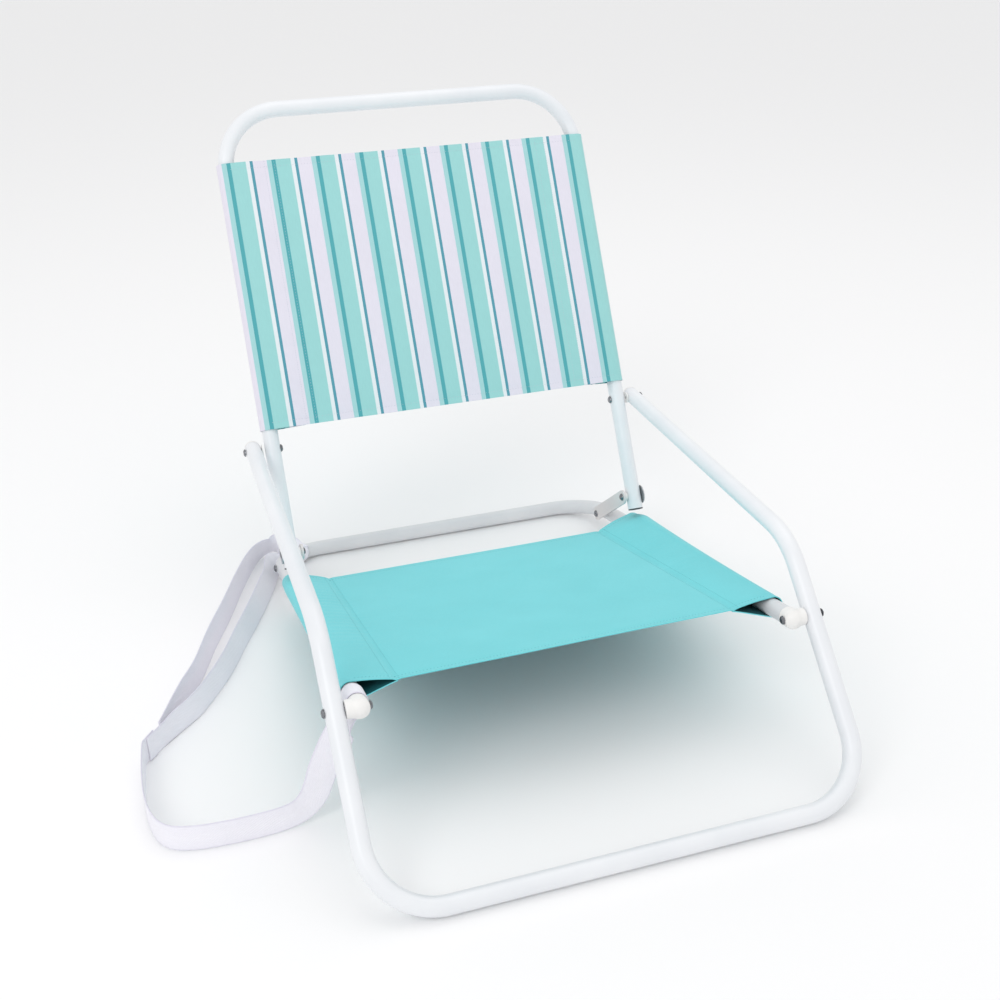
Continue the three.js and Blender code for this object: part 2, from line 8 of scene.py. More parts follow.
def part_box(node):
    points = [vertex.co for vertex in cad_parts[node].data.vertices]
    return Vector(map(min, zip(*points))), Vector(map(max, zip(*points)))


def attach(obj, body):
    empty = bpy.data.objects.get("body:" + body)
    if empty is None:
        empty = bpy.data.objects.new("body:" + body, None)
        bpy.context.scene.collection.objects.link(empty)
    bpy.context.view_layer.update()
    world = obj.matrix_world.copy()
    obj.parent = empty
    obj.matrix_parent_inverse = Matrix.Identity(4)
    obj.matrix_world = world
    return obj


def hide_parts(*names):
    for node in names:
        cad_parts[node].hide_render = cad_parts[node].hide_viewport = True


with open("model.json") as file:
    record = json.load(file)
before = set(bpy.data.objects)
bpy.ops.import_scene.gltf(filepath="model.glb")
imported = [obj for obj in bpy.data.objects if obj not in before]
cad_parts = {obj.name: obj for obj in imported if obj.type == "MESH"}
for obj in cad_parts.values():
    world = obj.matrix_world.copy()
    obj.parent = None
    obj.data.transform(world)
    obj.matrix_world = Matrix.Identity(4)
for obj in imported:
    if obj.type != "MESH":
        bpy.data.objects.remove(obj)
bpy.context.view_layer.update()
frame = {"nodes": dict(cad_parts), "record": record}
mm = 0.001

# The layout of the frame: distances in metres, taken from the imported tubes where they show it.
chair = {
    "tubeRadius": 9.5 * mm,
    "tubeSides": 48,
    "legAngle": 45.0,
    "elbowRadius": 80 * mm,
    "footRadius": 67 * mm,
    "seatCornerRadius": 62 * mm,
    "topRadius": 73 * mm,
    "backLean": 29.15,
    "armPivotBack": 198 * mm,
    "armEndPastPivot": 9 * mm,
    "kneeUpLeg": 189.5 * mm,
    "backBelowArm": 127.8 * mm,
    "backAboveArm": 414.6 * mm,
    "backLegEnd": 17 * mm,
    "plugLength": 9 * mm,
}
tubeRadius = chair["tubeRadius"]
frontLow, frontHigh = [Vector(corner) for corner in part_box("front_tube")]
seatHigh = Vector(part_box("seat_tube")[1])
armX = frontHigh.x - tubeRadius
railX = seatHigh.x - tubeRadius
armHeight = frontHigh.z - tubeRadius
floorBarY = frontLow.y + tubeRadius
rearBar = Vector((0, seatHigh.y - tubeRadius, tubeRadius))
shiftY = rearBar.y - 283 * mm
legTurn = math.radians(chair["legAngle"])
legUp = Vector((0, math.cos(legTurn), math.sin(legTurn)))
seatPivot = Vector((0, floorBarY, tubeRadius)) + legUp * chair["kneeUpLeg"]
armPivot = Vector((0, chair["armPivotBack"] + shiftY, armHeight))
railForward = (seatPivot - rearBar).normalized()
railUp = Vector((0, railForward.z, -railForward.y))
railLength = (seatPivot - rearBar).length
lean = math.radians(chair["backLean"])
backUp = Vector((0, math.sin(lean), math.cos(lean)))
backFront = Vector((0, -math.cos(lean), math.sin(lean)))
backPivot = armPivot - backUp * chair["backBelowArm"]
sideAxis = Vector((1, 0, 0))

# ------ camera
camera = {
    "place": Vector((-0.38646, -1.21939 + shiftY, 0.85020)),
    "azimuth": -17.57,
    "elevation": 27.30,
    "roll": -1.09,
    "lens": 45.74,
}
cameraData = bpy.data.cameras.new("studioCamera")
cameraData.lens = camera["lens"]
cameraData.sensor_width = 36
cameraData.clip_end = 50
studioCamera = bpy.data.objects.new("studioCamera", cameraData)
bpy.context.scene.collection.objects.link(studioCamera)
turn = (
    Matrix.Rotation(math.radians(camera["azimuth"]), 4, "Z")
    @ Matrix.Rotation(math.radians(90 - camera["elevation"]), 4, "X")
    @ Matrix.Rotation(math.radians(camera["roll"]), 4, "Z")
)
studioCamera.matrix_world = Matrix.Translation(camera["place"]) @ turn
bpy.context.scene.camera = studioCamera
print("camera placed")


# ------ small helpers
def deselectAll():
    if bpy.context.mode != "OBJECT":
        bpy.ops.object.mode_set(mode="OBJECT")
    bpy.ops.object.select_all(action="DESELECT")


def makeActive(piece):
    deselectAll()
    bpy.context.view_layer.objects.active = piece
    piece.select_set(True)


def settle(piece, name, body, finish, nodes=()):
    makeActive(piece)
    piece.name = name
    piece.data.name = name
    bpy.ops.object.transform_apply(location=True, rotation=True, scale=True)
    piece.data.materials.clear()
    piece.data.materials.append(finish)
    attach(piece, body)
    if nodes:
        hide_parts(*nodes)
    deselectAll()
    return piece


def meshPiece(name, points, faces, uvs=None):
    mesh = bpy.data.meshes.new(name)
    mesh.from_pydata([tuple(p) for p in points], [], faces)
    if uvs:
        layer = mesh.uv_layers.new(name="clothMap")
        for loop in mesh.loops:
            layer.data[loop.index].uv = uvs[loop.vertex_index]
    piece = bpy.data.objects.new(name, mesh)
    bpy.context.scene.collection.objects.link(piece)
    return piece


def smoothStep(value, low, high):
    t = min(1.0, max(0.0, (value - low) / (high - low)))
    return t * t * (3 - 2 * t)


def throughPoints(rows, perSpan):
    # One smooth curve through rows of any number of values.
    out = []
    for i in range(len(rows) - 1):
        before = rows[max(0, i - 1)]
        after = rows[min(len(rows) - 1, i + 2)]
        for k in range(perSpan):
            t = k / perSpan
            out.append([
                0.5 * (
                    2 * b + (c - a) * t + (2 * a - 5 * b + 4 * c - d) * t * t
                    + (3 * b - a - 3 * c + d) * t ** 3
                )
                for a, b, c, d in zip(before, rows[i], rows[i + 1], after)
            ])
    out.append(list(rows[-1]))
    return out


# ------ finishes
def shade(red, green, blue):
    # A colour as seen on a screen, from 0 to 255, as the shader's own value.
    def linear(value):
        value /= 255
        return value / 12.92 if value < 0.04045 else ((value + 0.055) / 1.055) ** 2.4
    return (linear(red), linear(green), linear(blue), 1)


def newFinish(name, roughness, metallic=0.0):
    finish = bpy.data.materials.new(name)
    finish.use_nodes = True
    tree = finish.node_tree
    shader = tree.nodes["Principled BSDF"]
    shader.inputs["Roughness"].default_value = roughness
    shader.inputs["Metallic"].default_value = metallic
    return finish, tree, shader


def addNode(tree, kind, **values):
    node = tree.nodes.new(kind)
    for key, value in values.items():
        if key in node.inputs:
            node.inputs[key].default_value = value
        else:
            setattr(node, key, value)
    return node


def maths(tree, operation, first, second=None):
    node = tree.nodes.new("ShaderNodeMath")
    node.operation = operation
    for socket, value in zip(node.inputs, (first, second)):
        if value is None:
            continue
        if isinstance(value, (int, float)):
            socket.default_value = value
        else:
            tree.links.new(value, socket)
    return node.outputs[0]


def mixed(tree, factor, first, second, blend="MIX"):
    node = tree.nodes.new("ShaderNodeMix")
    node.data_type = "RGBA"
    node.blend_type = blend
    for index, value in ((0, factor), (6, first), (7, second)):
        socket = node.inputs[index]
        if isinstance(value, (int, float, tuple)):
            socket.default_value = value
        else:
            tree.links.new(value, socket)
    return node.outputs[2]


def ramp(tree, factor, stops, interpolation="LINEAR"):
    node = tree.nodes.new("ShaderNodeValToRGB")
    node.color_ramp.interpolation = interpolation
    elements = node.color_ramp.elements
    while len(elements) < len(stops):
        elements.new(0.5)
    for element, (place, colour) in zip(elements, stops):
        element.position = place
        element.color = colour
    tree.links.new(factor, node.inputs[0])
    return node.outputs[0]


def paintFinish(name, light, dark, roughness, grainScale, grainDepth, metallic=0.0, coat=0.0):
    # Paint, plastic or plated metal: soft colour drift, grain in the surface, uneven gloss.
    finish, tree, shader = newFinish(name, roughness, metallic)
    place = tree.nodes.new("ShaderNodeTexCoord").outputs["Object"]
    drift = addNode(tree, "ShaderNodeTexNoise", Scale=14.0, Detail=4.0)
    grain = addNode(tree, "ShaderNodeTexNoise", Scale=grainScale, Detail=3.0)
    for node in (drift, grain):
        tree.links.new(place, node.inputs["Vector"])
    colour = ramp(tree, drift.outputs[0], [(0.3, dark), (0.7, light)])
    tree.links.new(colour, shader.inputs["Base Color"])
    gloss = maths(tree, "MULTIPLY_ADD", grain.outputs[0], 0.12)
    gloss.node.inputs[2].default_value = roughness - 0.06
    tree.links.new(gloss, shader.inputs["Roughness"])
    bump = addNode(tree, "ShaderNodeBump", Strength=0.35, Distance=grainDepth)
    tree.links.new(grain.outputs[0], bump.inputs["Height"])
    tree.links.new(bump.outputs[0], shader.inputs["Normal"])
    shader.inputs["Coat Weight"].default_value = coat
    shader.inputs["Coat Roughness"].default_value = 0.18
    return finish


def wovenHeight(tree, place, threadPitch):
    # Plain weave: warp and weft threads that pass over each other in turn.
    split = tree.nodes.new("ShaderNodeSeparateXYZ")
    tree.links.new(place, split.inputs[0])
    turnRate = math.pi / threadPitch
    acrossWave = maths(tree, "SINE", maths(tree, "MULTIPLY", split.outputs[0], turnRate))
    alongWave = maths(tree, "SINE", maths(tree, "MULTIPLY", split.outputs[1], turnRate))
    product = maths(tree, "MULTIPLY", acrossWave, alongWave)
    return split, maths(tree, "MULTIPLY_ADD", product, 0.5)


def canvasFinish(name, colourOf, threadPitch, threadDepth, roughness=0.82, sheen=0.25):
    finish, tree, shader = newFinish(name, roughness)
    place = tree.nodes.new("ShaderNodeUVMap")
    place.uv_map = "clothMap"
    split, weave = wovenHeight(tree, place.outputs[0], threadPitch)
    cloud = addNode(tree, "ShaderNodeTexNoise", Scale=22.0, Detail=5.0)
    slub = addNode(tree, "ShaderNodeTexNoise", Scale=900.0, Detail=2.0)
    stretch = addNode(tree, "ShaderNodeMapping")
    stretch.inputs["Scale"].default_value = (1.0, 0.12, 1.0)
    tree.links.new(place.outputs[0], stretch.inputs[0])
    tree.links.new(place.outputs[0], cloud.inputs["Vector"])
    tree.links.new(stretch.outputs[0], slub.inputs["Vector"])
    colour = colourOf(tree, split)
    lightness = maths(tree, "ADD", maths(tree, "MULTIPLY", cloud.outputs[0], 0.06),
                      maths(tree, "MULTIPLY", slub.outputs[0], 0.08))
    lightness = maths(tree, "ADD", lightness, 0.91)
    grey = tree.nodes.new("ShaderNodeCombineColor")
    for socket in grey.inputs[:3]:
        tree.links.new(lightness, socket)
    colour = mixed(tree, 1.0, colour, grey.outputs[0], "MULTIPLY")
    tree.links.new(colour, shader.inputs["Base Color"])
    height = maths(tree, "ADD", weave, maths(tree, "MULTIPLY", slub.outputs[0], 0.6))
    bump = addNode(tree, "ShaderNodeBump", Strength=0.5, Distance=threadDepth)
    tree.links.new(height, bump.inputs["Height"])
    tree.links.new(bump.outputs[0], shader.inputs["Normal"])
    shader.inputs["Sheen Weight"].default_value = sheen
    shader.inputs["Sheen Roughness"].default_value = 0.45
    shader.inputs["Specular IOR Level"].default_value = 0.25
    return finish


# The repeat of the back cloth: widths in metres and the colour of each band.
stripes = {
    "firstLine": -223.4 * mm,
    "repeat": 54.66 * mm,
    "bands": [
        (2.5 * mm, shade(86, 172, 180)),
        (18.4 * mm, shade(160, 216, 215)),
        (4.6 * mm, shade(232, 238, 242)),
        (3.6 * mm, shade(90, 158, 176)),
        (17.4 * mm, shade(231, 227, 239)),
        (5.66 * mm, shade(168, 216, 218)),
        (2.5 * mm, shade(86, 172, 180)),
    ],
}


def stripeColour(tree, split):
    shifted = maths(tree, "SUBTRACT", split.outputs[0], stripes["firstLine"])
    repeats = maths(tree, "DIVIDE", shifted, stripes["repeat"])
    phase = maths(tree, "FRACT", maths(tree, "ADD", repeats, 8.0))  # never below zero
    stops, reach = [], 0.0
    for width, colour in stripes["bands"]:
        stops.append((reach / stripes["repeat"], colour))
        reach += width
    return ramp(tree, phase, stops, "CONSTANT")


def tintedColour(tree, split, scale, dark, light):
    tint = addNode(tree, "ShaderNodeTexNoise", Scale=scale, Detail=2.0)
    tree.links.new(split.inputs[0].links[0].from_socket, tint.inputs["Vector"])
    return ramp(tree, tint.outputs[0], [(0.3, dark), (0.7, light)])


def seatColour(tree, split):
    return tintedColour(tree, split, 9.0, shade(112, 213, 220), shade(118, 217, 224))


# The seat cloth's underside: the same aqua canvas, painted much darker as painted shade for the shadow
# under the seat.
def undersideShadeColour(tree, split):
    return tintedColour(tree, split, 30.0, shade(22, 112, 120), shade(30, 124, 132))


def webbingColour(tree, split):
    edge = maths(tree, "ABSOLUTE", split.outputs[0])
    stops = [(0.0, shade(246, 245, 252)), (0.86, shade(244, 243, 251)), (1.0, shade(226, 223, 236))]
    return ramp(tree, maths(tree, "DIVIDE", edge, 0.015), stops)  # half the width of the strap


powderCoat = paintFinish(
    "powderCoat", shade(236, 238, 241), shade(228, 231, 235), 0.34, 900.0, 0.00002, coat=0.25,
)
whitePlastic = paintFinish("whitePlastic", shade(242, 241, 239), shade(235, 234, 232), 0.42, 600.0, 0.00003)
# The seat tube's coat: the same white powder coat as the other tubes, made greyer as painted shade.
shadedPowderCoat = paintFinish(
    "shadedPowderCoat", shade(224, 225, 227), shade(214, 216, 219), 0.36, 900.0, 0.00002, coat=0.2,
)
darkPlastic = paintFinish("darkPlastic", shade(62, 66, 70), shade(44, 47, 50), 0.45, 700.0, 0.00003)
rivetSteel = paintFinish(
    "rivetSteel", shade(150, 152, 156), shade(96, 98, 104), 0.26, 500.0, 0.00004, metallic=1.0,
)
plateSteel = paintFinish(
    "plateSteel", shade(226, 223, 222), shade(216, 212, 212), 0.4, 420.0, 0.00004, coat=0.1,
)
discSteel = paintFinish(
    "discSteel", shade(196, 198, 200), shade(160, 163, 166), 0.3, 500.0, 0.00003, metallic=0.85,
)
seatCanvas = canvasFinish("seatCanvas", seatColour, 0.55 * mm, 0.00018)
# The underside finish carries painted shade: dark teal where the seat's shadow falls.
seatShadedUnderside = canvasFinish("seatShadedUnderside", undersideShadeColour, 0.55 * mm, 0.00018, 0.9, 0.05)
stripedCanvas = canvasFinish("stripedCanvas", stripeColour, 0.5 * mm, 0.0002)
webbing = canvasFinish("webbing", webbingColour, 1.1 * mm, 0.0005, 0.75, 0.3)
aquaThread = paintFinish("aquaThread", shade(64, 166, 174), shade(52, 150, 160), 0.7, 2500.0, 0.00005)
paleThread = paintFinish("paleThread", shade(200, 204, 216), shade(184, 190, 204), 0.7, 2500.0, 0.00005)
print("finishes made")

# ------ carry strap: ring round the left rail, run along the floor, sewn joint, loop round the bend
strap = {
    "width": 30 * mm,
    "frontWidth": 24 * mm,
    "thickness": 1.5 * mm,
    "bandOffset": 1.95 * mm,
    "standing": 15.3,  # millimetres from the floor to the middle of a strap on its edge
    "spanSteps": 6,
    "wrapTurn": 52,
    "wrapDrift": 11,
    "wrapGap": 0.4,
    "wrapHalf": 0.75,
    "wrapSlack": 2.6,
    "ringBack": 21.3 * mm,
    "ringStart": 8,
    "ringSweep": 312,
    "ringSteps": 16,
    "ringGap": 1.1 * mm,
    "ringDrop": 26 * mm,
    "ringHalfWidth": 13.5 * mm,
}


# Each row: place in millimetres, then the direction of the strap's upper edge.
def upright(x, y, leanX=0.0, leanY=0.0):
    return [x, y, strap["standing"], leanX, leanY, 1.0]


outerBand = [
    upright(-396, -49, -0.10, 0.05), upright(-386, -25, -0.10, 0.05), upright(-373, 3, -0.12, 0.05),
    upright(-355, 38, -0.15, 0.07), upright(-332, 100, -0.18, 0.08), upright(-308, 157, -0.18, 0.08),
    upright(-285, 217, -0.15, 0.05), upright(-265, 263, -0.10, 0.0), upright(-249, 289, 0.0, -0.15),
    [-230, 301, 16, 0.08, -0.4, 0.92], [-214, 289, 20, 0.66, 0.1, 0.72],
]
innerBand = [
    [-222, 267, 8.2, 0.3, 0.9, 0.12], [-234, 257, 12.4, -0.25, 0.7, 0.65],
    [-240, 239, 14.2, -0.42, 0.35, 0.85], [-245, 219, 14.6, -0.39, 0.18, 0.9],
    [-255, 193, 14.6, -0.39, 0.18, 0.9], [-277, 140, 14.8, -0.35, 0.17, 0.92],
    [-298, 94, 15.0, -0.3, 0.15, 0.94], [-319, 46, 15.1, -0.25, 0.12, 0.96],
    upright(-340, 7, -0.20, 0.10), upright(-364, -29, -0.15, 0.10), upright(-387, -53, -0.10, 0.05),
]
floorRun = [
    upright(-425, -98), upright(-427, -114), upright(-429.5, -152), upright(-429, -188),
    upright(-423, -218), upright(-410, -236), upright(-388, -244), upright(-358, -247),
    upright(-327, -247), [-302, -245, 15.8, -0.06, 0, 1], [-285, -242.5, 19.5, -0.32, 0, 0.95],
    [-273, -240.5, 30, -0.75, 0, 0.66], [-266, -240, 45, -0.95, 0, 0.3],
    [-260.5, -241, 62, -0.97, 0.1, 0.25], [-253, -243, 81, -0.95, 0.15, 0.25],
    [-244, -245, 99, -0.85, 0.45, 0.25],
]


def strapRow(row):
    place = Vector(row[:3]) * mm + Vector((0, shiftY, 0))
    return [*place, *Vector(row[3:6]).normalized(), strap["width"] / 2]


def wrapRows():
    # Round the left bend of the seat tube, from the top by the inner side to below.
    radius = chair["seatCornerRadius"]
    middle = Vector((-railX + radius, 0, 0)) + rearBar + railForward * radius
    rows = []
    for angle in (0, 36, 72, 108, 144, 180):
        turnAlong = math.radians(strap["wrapTurn"] - strap["wrapDrift"] * angle / 180)
        around = math.radians(angle)
        outward = Vector((-math.cos(turnAlong), 0, 0)) - railForward * math.sin(turnAlong)
        tangent = Vector((math.sin(turnAlong), 0, 0)) - railForward * math.cos(turnAlong)
        slack = strap["wrapSlack"] * max(0.0, math.sin(around))
        reach = tubeRadius + (strap["wrapGap"] + strap["wrapHalf"] + slack) * mm
        place = (
            middle + outward * radius + railUp * math.cos(around) * reach
            - outward * math.sin(around) * reach
        )
        rows.append([*place, *tangent, strap["width"] / 2])
    return rows


ringMiddle = Vector((-railX, 0, 0)) + rearBar + railForward * (railLength - strap["ringBack"])
hang = (Vector((-0.5, 0, 0)) - railUp * math.sqrt(0.75)).normalized()
ringSide = hang.cross(railForward)


def ringRows():
    rows = []
    for step in range(strap["ringSteps"] + 1):
        angle = math.radians(strap["ringStart"] + strap["ringSweep"] * step / strap["ringSteps"])
        spoke = hang * math.cos(angle) + ringSide * math.sin(angle)
        place = ringMiddle + spoke * (tubeRadius + strap["ringGap"])
        rows.append([*place, *(-railForward), strap["frontWidth"] / 2])
    return rows


jointStart = Vector((-405.3, -71.1, strap["standing"])) * mm + Vector((0, shiftY, 0))
jointHeading = Vector((-0.62, -0.7846, 0)).normalized()
jointSide = Vector((jointHeading.y, -jointHeading.x, 0))


def jointRow(along, across):
    place = jointStart + jointHeading * along + jointSide * across
    return [*place, 0, 0, 1, strap["width"] / 2]


runBelow = ringMiddle + hang * strap["ringDrop"]
rising = [strapRow(row) for row in floorRun]
rising.append([*runBelow, *Vector((-0.45, 0.85, -0.1)).normalized(), strap["ringHalfWidth"]])
outer = [jointRow(-1 * mm, strap["bandOffset"])] + [strapRow(row) for row in outerBand]
inner = [strapRow(row) for row in innerBand] + [
    jointRow(-1 * mm, -strap["bandOffset"]), jointRow(10 * mm, -strap["bandOffset"]),
    jointRow(26 * mm, -strap["bandOffset"]),
]
crossing = [jointRow(26 * mm, 0), jointRow(12 * mm, 0.6 * mm)]


def ribbonPiece(name, rows, nodes):
    # A flat strap along rows of place, direction of its upper edge and half width.
    stations = throughPoints(rows, strap["spanSteps"])
    upper = [(-0.97, 0.42), (-0.9, 0.5), (-0.45, 0.5), (0.0, 0.5), (0.45, 0.5), (0.9, 0.5), (0.97, 0.42)]
    lower = [(across, -depth) for across, depth in upper[::-1]]
    outline = [(-1.0, 0.0), *upper, (1.0, 0.0), *lower]
    points, uvs, faces = [], [], []
    along = 0.0
    for i, station in enumerate(stations):
        place = Vector(station[:3])
        before = Vector(stations[max(0, i - 1)][:3])
        after = Vector(stations[min(len(stations) - 1, i + 1)][:3])
        along += (place - before).length
        heading = (after - before).normalized()
        edge = Vector(station[3:6])
        edge = (edge - heading * edge.dot(heading)).normalized()
        face = heading.cross(edge).normalized()
        for across, depth in outline:
            points.append(place + edge * across * station[6] + face * depth * strap["thickness"])
            uvs.append((across * strap["width"] / 2, along))
    ring = len(outline)
    for i in range(len(stations) - 1):
        for k in range(ring):
            a, b = i * ring + k, i * ring + (k + 1) % ring
            faces.append((a, b, b + ring, a + ring))
    faces.append(tuple(range(ring))[::-1])
    faces.append(tuple(range((len(stations) - 1) * ring, len(stations) * ring)))
    piece = meshPiece(name, points, faces, uvs)
    makeActive(piece)
    bpy.ops.object.mode_set(mode="EDIT")
    bpy.ops.mesh.select_all(action="SELECT")
    bpy.ops.mesh.normals_make_consistent(inside=False)
    bpy.ops.object.mode_set(mode="OBJECT")
    bpy.ops.object.shade_smooth_by_angle(angle=math.radians(50))
    settle(piece, name, "seat", webbing, nodes)
    return piece, [Vector(station[:3]) for station in stations], along


runRows = ringRows() + rising[::-1] + crossing
loopRows = outer + wrapRows() + inner
strapRun, runPath, runLength = ribbonPiece("strapRun", runRows, ("strap_run", "strap_front_ring"))
strapLoop, loopPath, loopLength = ribbonPiece("strapLoop", loopRows, ("strap_loop", "strap_joint"))
print("strap laid", round(runLength, 3), round(loopLength, 3))


# ------ tubes
spinWay = -1  # the spin operator turns left-handed about its axis


def bentTube(name, start, heading, moves, body, nodes, finish=powderCoat):
    # A round tube from an open circle: pushed straight out and spun round each bend.
    deselectAll()
    turnTo = heading.to_track_quat("Z", "Y").to_euler()
    bpy.ops.mesh.primitive_circle_add(
        vertices=chair["tubeSides"], radius=tubeRadius, fill_type="NGON", location=start,
        rotation=turnTo,
    )
    tube = bpy.context.object
    bpy.ops.object.transform_apply(location=True, rotation=True, scale=True)
    bpy.ops.object.mode_set(mode="EDIT")
    bpy.ops.mesh.select_all(action="SELECT")
    place, heading = start.copy(), heading.normalized()
    for move in moves:
        if move[0] == "straight":
            bpy.ops.mesh.extrude_region_move(
                TRANSFORM_OT_translate={"value": heading * move[1]},
            )
            place = place + heading * move[1]
            continue
        radius, degrees, inward = move[1:]
        inward = (inward - heading * inward.dot(heading)).normalized()
        centre = place + inward * radius
        axis = heading.cross(inward).normalized()
        steps = max(4, round(abs(degrees) / 4))
        bpy.ops.mesh.spin(
            steps=steps, angle=spinWay * math.radians(degrees), center=centre, axis=axis, dupli=False,
        )
        turnBend = Matrix.Rotation(math.radians(degrees), 3, axis)
        heading = (turnBend @ heading).normalized()
        place = centre + turnBend @ (place - centre)
    bpy.ops.mesh.select_all(action="SELECT")
    bpy.ops.mesh.remove_doubles(threshold=0.00001)
    bpy.ops.mesh.normals_make_consistent(inside=False)
    bpy.ops.object.mode_set(mode="OBJECT")
    bpy.ops.object.shade_smooth_by_angle(angle=math.radians(40))
    return settle(tube, name, body, finish, nodes)


elbowTangent = chair["elbowRadius"] * math.tan(math.radians(chair["legAngle"] / 2))
legLength = (armHeight - tubeRadius) / legUp.z
elbowY = floorBarY + legLength * legUp.y
armEndY = armPivot.y + chair["armEndPastPivot"]
armRun = armEndY - elbowY - elbowTangent
legRun = legLength - elbowTangent - chair["footRadius"]
towardLeft = Vector((-1, 0, 0))
bentTube(
    "frontTube", Vector((armX, armEndY, armHeight)), Vector((0, -1, 0)), [
        ("straight", armRun),
        ("bend", chair["elbowRadius"], chair["legAngle"], Vector((0, 0, -1))),
        ("straight", legRun),
        ("bend", chair["footRadius"], 90, towardLeft),
        ("straight", 2 * (armX - chair["footRadius"])),
        ("bend", chair["footRadius"], 90, legUp),
        ("straight", legRun),
        ("bend", chair["elbowRadius"], chair["legAngle"], Vector((0, 1, 0))),
        ("straight", armRun),
    ], "front_frame", ("front_tube",),
)
railRun = railLength - chair["plugLength"] - chair["seatCornerRadius"]
# The seat tube wears the darker copy of the white powder coat, a painted shade.
bentTube(
    "seatTube", Vector((railX, 0, 0)) + rearBar + railForward * (railLength - chair["plugLength"]),
    -railForward, [
        ("straight", railRun),
        ("bend", chair["seatCornerRadius"], 90, towardLeft),
        ("straight", 2 * (railX - chair["seatCornerRadius"])),
        ("bend", chair["seatCornerRadius"], 90, railForward),
        ("straight", railRun),
    ], "seat", ("seat_tube",), shadedPowderCoat,
)
backRun = chair["backBelowArm"] + chair["backLegEnd"] + chair["backAboveArm"] - chair["topRadius"]
bentTube(
    "backTube", Vector((railX, 0, 0)) + backPivot - backUp * chair["backLegEnd"], backUp, [
        ("straight", backRun),
        ("bend", chair["topRadius"], 90, towardLeft),
        ("straight", 2 * (railX - chair["topRadius"])),
        ("bend", chair["topRadius"], 90, -backUp),
        ("straight", backRun),
    ], "back", ("back_tube",),
)
print("tubes bent")

# ------ cloths
cloth = {
    "thickness": 1.1 * mm,
    "loopRadius": 10.5 * mm,
    "seatFront": 526 * mm,
    "seatRear": 143 * mm,
    "seatSeam": 45 * mm,
    "backBottom": 23 * mm,
    "backTop": 349 * mm,
    "backSeam": 42 * mm,
    "rowPitch": 4 * mm,
    "hem": 8 * mm,
    "hemWidth": 2.2 * mm,
    "panelSteps": 72,
    "loopTop": 96,
    "loopBottom": -108,
    "swellAt": 48,
}


def seatPanelHeight(x, s):
    # The panel hangs lower at the rear and a little in the middle.
    t = (s - cloth["seatRear"]) / (cloth["seatFront"] - cloth["seatRear"])
    half = railX - cloth["seatSeam"]
    sag = (1 - (x / half) ** 2) * math.sin(math.pi * min(1, max(0, t))) * 3.0 * mm
    return (-1.6 + 6.6 * t) * mm + 5.5 * mm * x * t - sag


def seatPuff(side, s):
    # How far a sleeve stands off its rail: most near its rear end.
    away = (cloth["seatFront"] - s) / (cloth["seatFront"] - cloth["seatRear"])
    rise = 1.2 + 10.5 * away ** 1.7
    drop = 0.55 + 0.45 * smoothStep(s, cloth["seatRear"], cloth["seatRear"] + 34 * mm)
    return rise * drop * mm * (1.0 if side > 0 else 0.35)


def backPanelHeight(x, s):
    return cloth["loopRadius"] - 0.6 * mm * math.sin(math.pi * (x / railX + 1) / 2)


def backPuff(side, s):
    # The back's sleeves stand off their tubes most at the top.
    t = (s - cloth["backBottom"]) / (cloth["backTop"] - cloth["backBottom"])
    return (0.6 + (0.5 if side < 0 else 0.2) * t ** 1.5) * mm


def clothSection(side, s, seamHeight, puff, seam):
    # Half of the cloth's girth, from the seam over the tube, round it and back to the seam.
    points = []
    radius = cloth["loopRadius"]
    seamPoint = Vector((-seam, seamHeight))
    topAngle = math.radians(cloth["loopTop"])
    low = math.radians(cloth["loopBottom"])

    def onLoop(angle):
        swell = max(0.0, math.cos((angle - math.radians(cloth["swellAt"])) * 0.8)) ** 2
        reach = radius + puff * swell
        return Vector((reach * math.cos(angle), reach * math.sin(angle)))

    topPoint = onLoop(topAngle)
    for step in range(12):
        t = step / 12
        lift = 0.9 * mm * math.sin(math.pi * t) + puff * 0.10 * math.sin(math.pi * t)
        points.append(seamPoint.lerp(topPoint, t) + Vector((0, lift)))
    for step in range(29):
        points.append(onLoop(topAngle + (low - topAngle) * step / 28))
    lowPoint = onLoop(low)
    under = Vector((-seam - 1.5 * mm, seamHeight - 1.3 * mm))
    for step in range(1, 11):
        points.append(lowPoint.lerp(under, step / 10))
    return points


